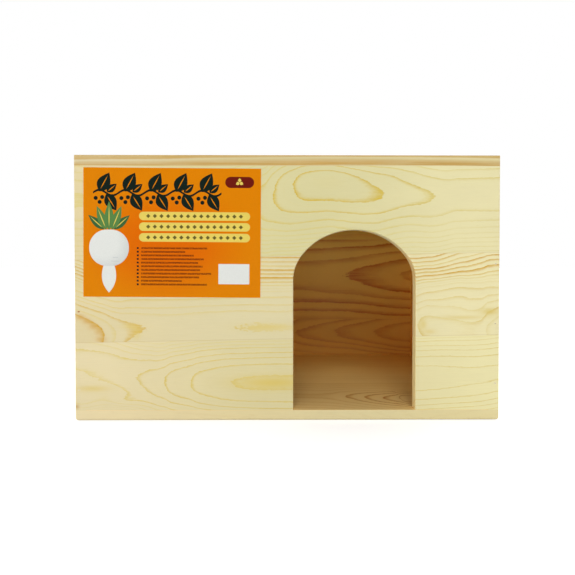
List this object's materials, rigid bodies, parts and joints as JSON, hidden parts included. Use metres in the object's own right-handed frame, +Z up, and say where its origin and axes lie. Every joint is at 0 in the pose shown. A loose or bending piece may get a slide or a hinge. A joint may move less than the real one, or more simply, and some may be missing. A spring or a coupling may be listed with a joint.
{
  "type": "small animal house",
  "caption": "Flat-roofed box house of edge-glued pine boards for a rabbit or other small pet, with an arched doorway in the front wall and a floor.",
  "frame": {"origin": "middle of the underside of the floor board", "axes": "+X to the right of the front wall, +Y from the front wall to the back wall, +Z up; the doorway is in the -Y wall"},
  "size_m": [0.4, 0.2502, 0.25],
  "materials": {
    "pine": "planed and sanded, unfinished",
    "brad_steel": "dull",
    "sticker_paper": "gloss printed paper"
  },
  "bodies": {
    "root": {"floor_front_stave": "pine", "floor_middle_stave": "pine", "floor_rear_stave": "pine", "roof_front_stave": "pine", "roof_middle_stave": "pine", "roof_rear_stave": "pine", "front_lower_left_stave": "pine", "front_lower_right_stave": "pine", "front_middle_left_stave": "pine", "front_middle_right_stave": "pine", "front_upper_stave": "pine", "back_lower_stave": "pine", "back_middle_stave": "pine", "back_upper_stave": "pine", "left_side_lower_stave": "pine", "left_side_middle_stave": "pine", "left_side_upper_stave": "pine", "right_side_lower_stave": "pine", "right_side_middle_stave": "pine", "right_side_upper_stave": "pine", "front_brads": "brad_steel", "rear_brads": "brad_steel", "roof_brads": "brad_steel", "floor_brads": "brad_steel", "front_sticker": "sticker_paper"}
  },
  "joints": []
}
